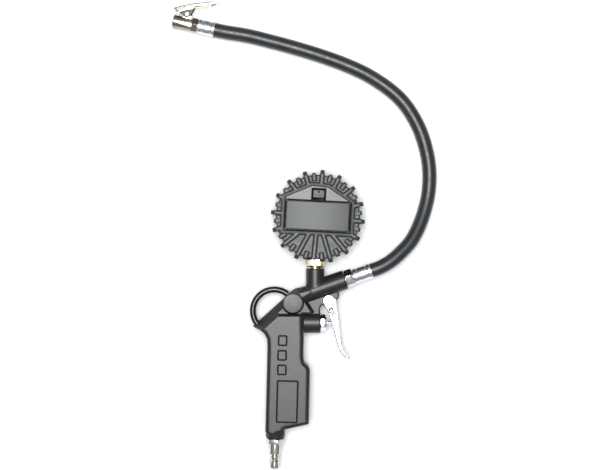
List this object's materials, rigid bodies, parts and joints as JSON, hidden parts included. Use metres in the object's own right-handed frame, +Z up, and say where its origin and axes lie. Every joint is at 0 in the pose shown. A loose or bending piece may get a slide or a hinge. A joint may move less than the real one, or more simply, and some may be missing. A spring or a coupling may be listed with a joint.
{
  "type": "portable tire inflator",
  "caption": "Pistol-grip tire inflator with a digital gauge in a finned rubber boot, a curved hose and a clip-on chuck.",
  "frame": {"origin": "centre of the gun and gauge in plan, on the surface that it lies on; the hose and chuck aren't counted", "axes": "+Z up, through the thickness of the gun; +Y from the grip's foot towards the gauge"},
  "size_m": [0.2402, 0.4237, 0.0372],
  "materials": {
    "body_black": "powder coated, fine texture",
    "loop_black": "gloss black coated wire",
    "nickel": "nickel plated brass",
    "zinc": "bright zinc plated",
    "brass": "machined",
    "spring_steel": "drawn wire",
    "boot_rubber": "moulded, matt",
    "hose_rubber": "extruded, satin",
    "seal_rubber": "moulded",
    "case_plastic": "fine grain",
    "door_plastic": "fine grain",
    "clear_plastic": "clear acrylic window",
    "lcd_glass": "blank display",
    "board_green": "solder mask",
    "cell_label": "plain sleeve",
    "button_grey": "moulded, matt"
  },
  "bodies": {
    "gun": {"gun_body": "body_black", "side_cap_upper": "body_black", "side_cap_lower": "body_black", "hanging_loop": "loop_black", "inlet_plug": "nickel", "trigger_pin": "nickel", "hose_adapter": "nickel", "chuck_body": "nickel", "chuck_pin": "nickel", "valve_gland_nut": "zinc", "gun_end_ferrule": "zinc", "chuck_ferrule": "zinc", "pressure_sensor": "zinc", "valve_seat": "brass", "gauge_stem": "brass", "valve_depressor": "brass", "valve_spring": "spring_steel", "chuck_spring": "spring_steel", "contact_spring_left": "spring_steel", "contact_spring_right": "spring_steel", "contact_plate_left": "spring_steel", "contact_plate_right": "spring_steel", "case_screw_1": "spring_steel", "case_screw_2": "spring_steel", "case_screw_3": "spring_steel", "case_screw_4": "spring_steel", "power_switch": "spring_steel", "unit_switch": "spring_steel", "gauge_boot": "boot_rubber", "hose": "hose_rubber", "inlet_seal_ring": "seal_rubber", "stem_seal_ring": "seal_rubber", "gland_o_ring": "seal_rubber", "chuck_seal": "seal_rubber", "case_front": "case_plastic", "case_back": "case_plastic", "lens": "clear_plastic", "lcd_panel": "lcd_glass", "circuit_board": "board_green", "battery_left": "cell_label", "battery_right": "cell_label"},
    "trigger": {"trigger_lever": "zinc"},
    "valve": {"valve_stem": "zinc", "poppet_seal": "seal_rubber"},
    "clip_lever": {"chuck_lever": "nickel"},
    "door": {"battery_door": "door_plastic"},
    "power_key": {"power_button": "button_grey"},
    "unit_key": {"unit_button": "button_grey"}
  },
  "joints": [
    {"name": "trigger_squeeze", "type": "hinge", "parent": "gun", "child": "trigger", "pos_m": [0.01944, 0.01718, 0.018], "axis": [0, 0, -1], "range_deg": [0, 10], "stiffness_Nm_per_rad": 2, "springref_deg": -5.73},
    {"name": "valve_push", "type": "slide", "parent": "gun", "child": "valve", "axis": [-1, 0, 0], "range_m": [0, 0.0035], "deforming": ["valve_spring"]},
    {"name": "clip_lever_press", "type": "hinge", "parent": "gun", "child": "clip_lever", "pos_m": [-0.10859, 0.27627, 0.0076], "axis": [0, 0, -1], "range_deg": [0, 20], "stiffness_Nm_per_rad": 0.5, "springref_deg": -8.59},
    {"name": "battery_door_open", "type": "hinge", "parent": "gun", "child": "door", "pos_m": [0.00897, 0.08024, 0.0336], "axis": [0.9987, -0.0506, 0], "range_deg": [0, 80]},
    {"name": "power_press", "type": "slide", "parent": "gun", "child": "power_key", "axis": [0, 0, 1], "range_m": [0, 0.0012], "stiffness_N_per_m": 600, "springref_m": -0.0005},
    {"name": "unit_press", "type": "slide", "parent": "gun", "child": "unit_key", "axis": [0, 0, 1], "range_m": [0, 0.0012], "stiffness_N_per_m": 600, "springref_m": -0.0005}
  ],
  "couplings": [
    {"joint": "valve_push", "follows": "trigger_squeeze", "m_per_rad": 0.0198}
  ]
}
